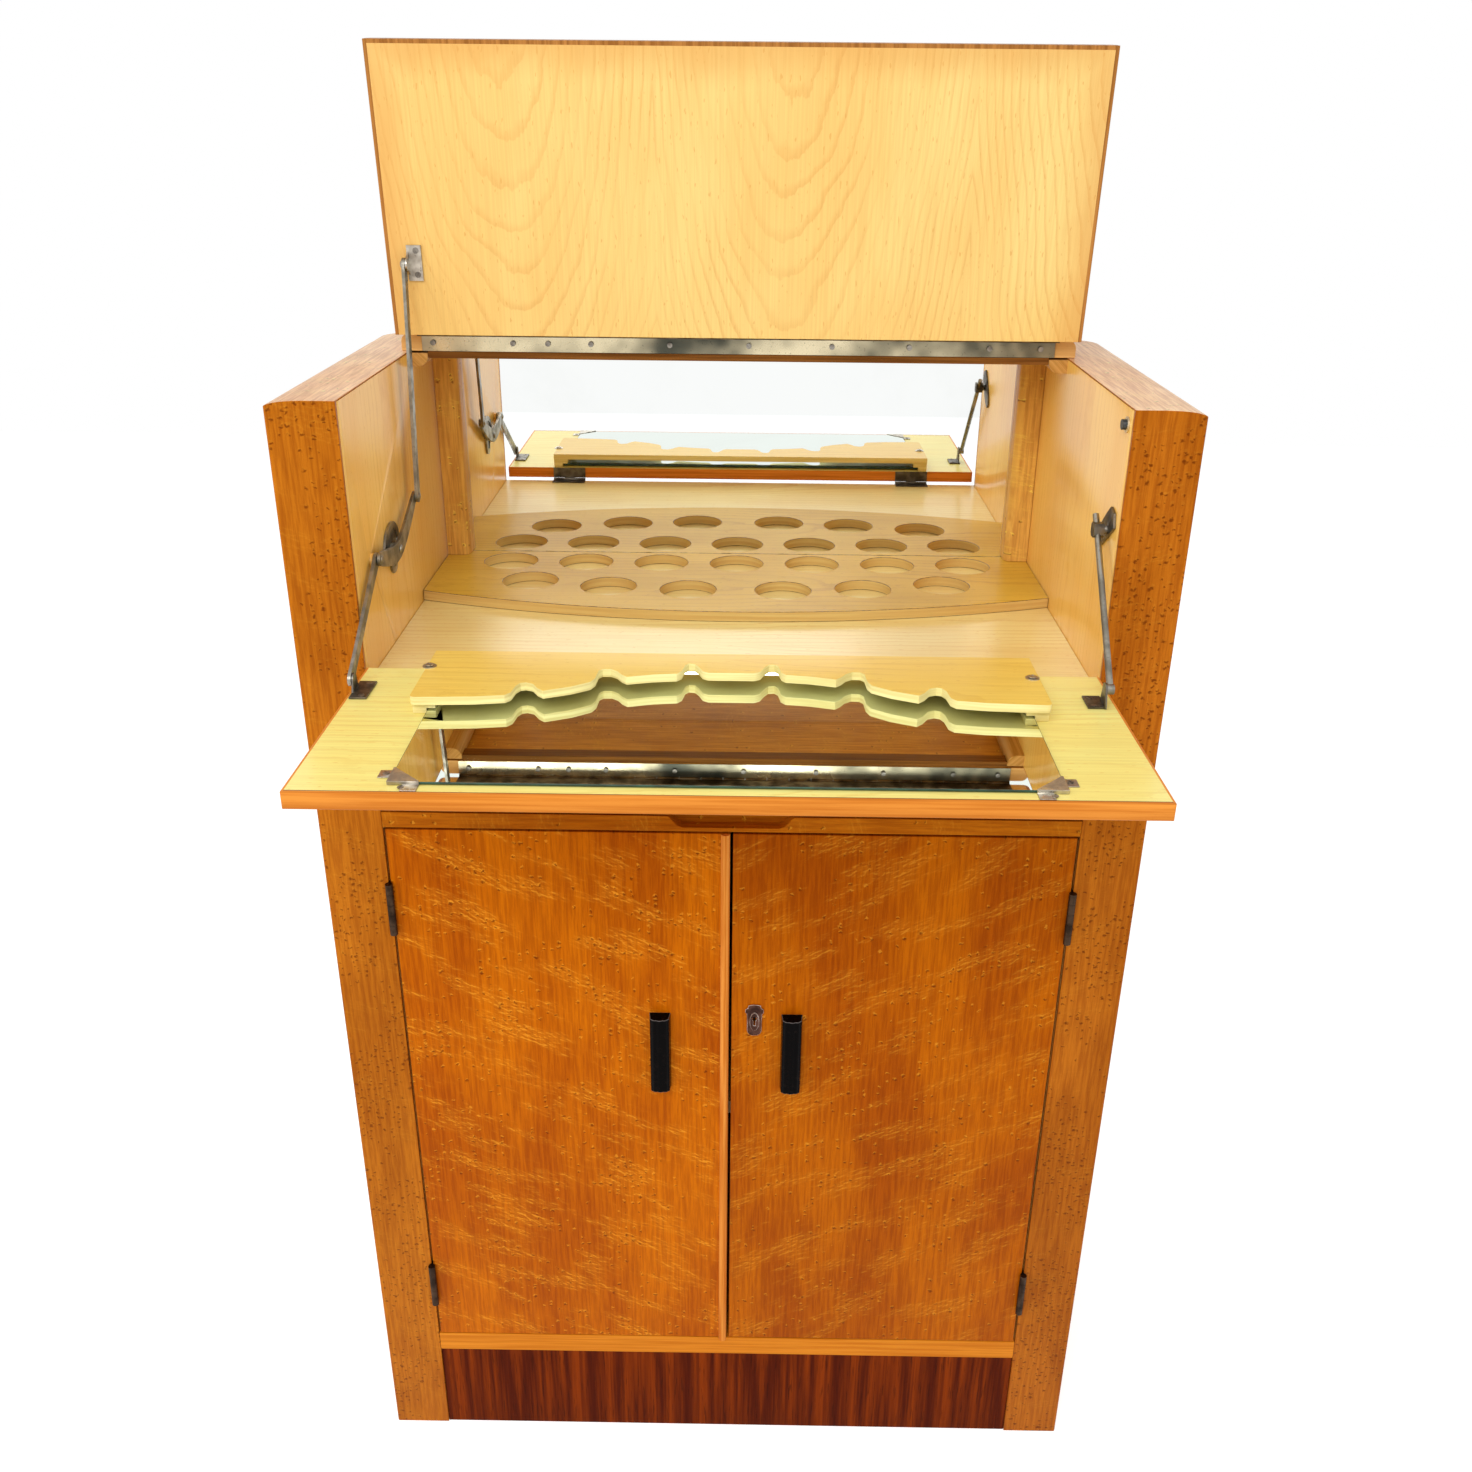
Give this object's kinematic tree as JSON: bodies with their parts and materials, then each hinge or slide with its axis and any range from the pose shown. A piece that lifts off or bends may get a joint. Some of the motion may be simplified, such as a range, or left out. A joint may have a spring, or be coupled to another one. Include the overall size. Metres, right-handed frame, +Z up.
{
  "type": "bar cabinet",
  "caption": "Upright bar cabinet: a drop-down flap linked to a rising lid over a mirrored glass compartment, with a drawer and a cupboard below.",
  "frame": {"origin": "on the floor, under the middle of the object's bounding box with the flap open", "axes": "+Z up; -Y towards the user, the way the doors and the flap face; +X to the right as the user faces the front"},
  "size_m": [0.876, 0.719, 1.6591],
  "materials": {
    "amber_maple": "glossy polished birdseye maple veneer, deep amber",
    "pale_maple": "glossy polished maple veneer, pale honey",
    "cream_maple": "satin maple, cream",
    "walnut": "satin walnut, dark",
    "plywood": "plain plywood",
    "nickel": "worn nickel-plated steel",
    "bronze": "dark bronzed brass",
    "copper": "aged copper-coloured brass",
    "steel": "dull steel",
    "black_plastic": "black glossy moulding",
    "rubber": "black rubber",
    "mirror": "silvered glass"
  },
  "bodies": {
    "cabinet": {"left_side_casing": "amber_maple", "right_side_casing": "amber_maple", "left_inner_panel": "pale_maple", "right_inner_panel": "pale_maple", "plinth_frame": "walnut", "bottom_board": "pale_maple", "division_board": "amber_maple", "cupboard_shelf": "pale_maple", "back_panel": "plywood", "cocktail_floor": "pale_maple", "back_mirror": "mirror", "glass_rack": "pale_maple", "left_rear_post": "amber_maple", "right_rear_post": "amber_maple", "top_rail": "amber_maple", "rail_hinge_leaf": "nickel", "left_flap_hinge_plate": "nickel", "right_flap_hinge_plate": "nickel", "rocker_plate": "nickel", "stay_plate": "nickel", "flap_stop": "rubber", "left_lower_hinge_plate": "bronze", "left_upper_hinge_plate": "bronze", "right_lower_hinge_plate": "bronze", "right_upper_hinge_plate": "bronze"},
    "lid": {"lid_panel": "pale_maple", "lid_hinge_leaf": "nickel", "lid_bracket": "nickel"},
    "flap": {"flap_panel": "pale_maple", "flap_mirror": "mirror", "left_mirror_clip": "nickel", "right_mirror_clip": "nickel", "stem_rack": "cream_maple", "left_flap_hinge_leaf": "nickel", "right_flap_hinge_leaf": "nickel", "flap_link_bracket": "nickel", "flap_stay_bracket": "nickel"},
    "rocker": {"rocker": "nickel"},
    "upper_link": {"upper_link": "nickel"},
    "lower_link": {"lower_link": "nickel"},
    "stay_swivel": {"stay_swivel": "nickel"},
    "stay_bar": {"stay_bar": "nickel"},
    "drawer": {"drawer_front": "amber_maple", "left_drawer_side": "pale_maple", "right_drawer_side": "pale_maple", "drawer_back": "pale_maple", "drawer_bottom": "plywood"},
    "left_door": {"left_door": "amber_maple", "left_handle": "black_plastic", "left_lower_hinge_leaf": "bronze", "left_upper_hinge_leaf": "bronze", "door_bolt_plate": "steel"},
    "door_bolt": {"door_bolt": "steel"},
    "right_door": {"right_door": "amber_maple", "right_handle": "black_plastic", "escutcheon": "copper", "right_lower_hinge_leaf": "bronze", "right_upper_hinge_leaf": "bronze", "lock_case": "steel"},
    "lock_bolt": {"lock_bolt": "steel"}
  },
  "joints": [
    {"name": "flap_hinge", "type": "hinge", "parent": "cabinet", "child": "flap", "pos_m": [0, -0.0805, 1.0655], "axis": [-1, 0, 0], "range_deg": [0, 90]},
    {"name": "lid_hinge", "type": "hinge", "parent": "cabinet", "child": "lid", "pos_m": [0, 0.21615, 1.3682], "axis": [1, 0, 0], "range_deg": [0, 85]},
    {"name": "rocker_turn", "type": "hinge", "parent": "cabinet", "child": "rocker", "pos_m": [-0.3592, 0.0614, 1.1641], "axis": [-1, 0, 0], "range_deg": [0, 73.1]},
    {"name": "upper_link_turn", "type": "hinge", "parent": "lid", "child": "upper_link", "pos_m": [-0.3554, 0.17868, 1.44312], "axis": [-1, 0, 0], "range_deg": [0, 81.8]},
    {"name": "lower_link_turn", "type": "hinge", "parent": "flap", "child": "lower_link", "pos_m": [-0.363, -0.1431, 1.0958], "axis": [1, 0, 0], "range_deg": [0, 106.3]},
    {"name": "stay_swivel_turn", "type": "hinge", "parent": "cabinet", "child": "stay_swivel", "pos_m": [0.358, -0.0394, 1.2226], "axis": [1, 0, 0], "range_deg": [0, 28.1]},
    {"name": "stay_bar_slide", "type": "slide", "parent": "stay_swivel", "child": "stay_bar", "axis": [0, 0.6918, 0.7221], "range_m": [0, 0.11]},
    {"name": "drawer_slide", "type": "slide", "parent": "cabinet", "child": "drawer", "axis": [0, -1, 0], "range_m": [0, 0.3]},
    {"name": "left_door_hinge", "type": "hinge", "parent": "cabinet", "child": "left_door", "pos_m": [-0.3687, -0.083, 0.5308], "axis": [0, 0, -1], "range_deg": [0, 170]},
    {"name": "right_door_hinge", "type": "hinge", "parent": "cabinet", "child": "right_door", "pos_m": [0.3687, -0.083, 0.5308], "axis": [0, 0, 1], "range_deg": [0, 170]},
    {"name": "door_bolt_slide", "type": "slide", "parent": "left_door", "child": "door_bolt", "axis": [0, 0, 1], "range_m": [0, 0.0085]},
    {"name": "lock_bolt_slide", "type": "slide", "parent": "right_door", "child": "lock_bolt", "axis": [-1, 0, 0], "range_m": [0, 0.007]}
  ],
  "couplings": [
    {"joint": "lid_hinge", "follows": "flap_hinge", "ratio": 0.9444},
    {"joint": "rocker_turn", "follows": "flap_hinge", "ratio": 0.8118},
    {"joint": "upper_link_turn", "follows": "flap_hinge", "ratio": 0.9084},
    {"joint": "lower_link_turn", "follows": "flap_hinge", "ratio": 1.1809},
    {"joint": "stay_swivel_turn", "follows": "flap_hinge", "ratio": 0.3111},
    {"joint": "stay_bar_slide", "follows": "flap_hinge", "m_per_rad": 0.069391}
  ]
}
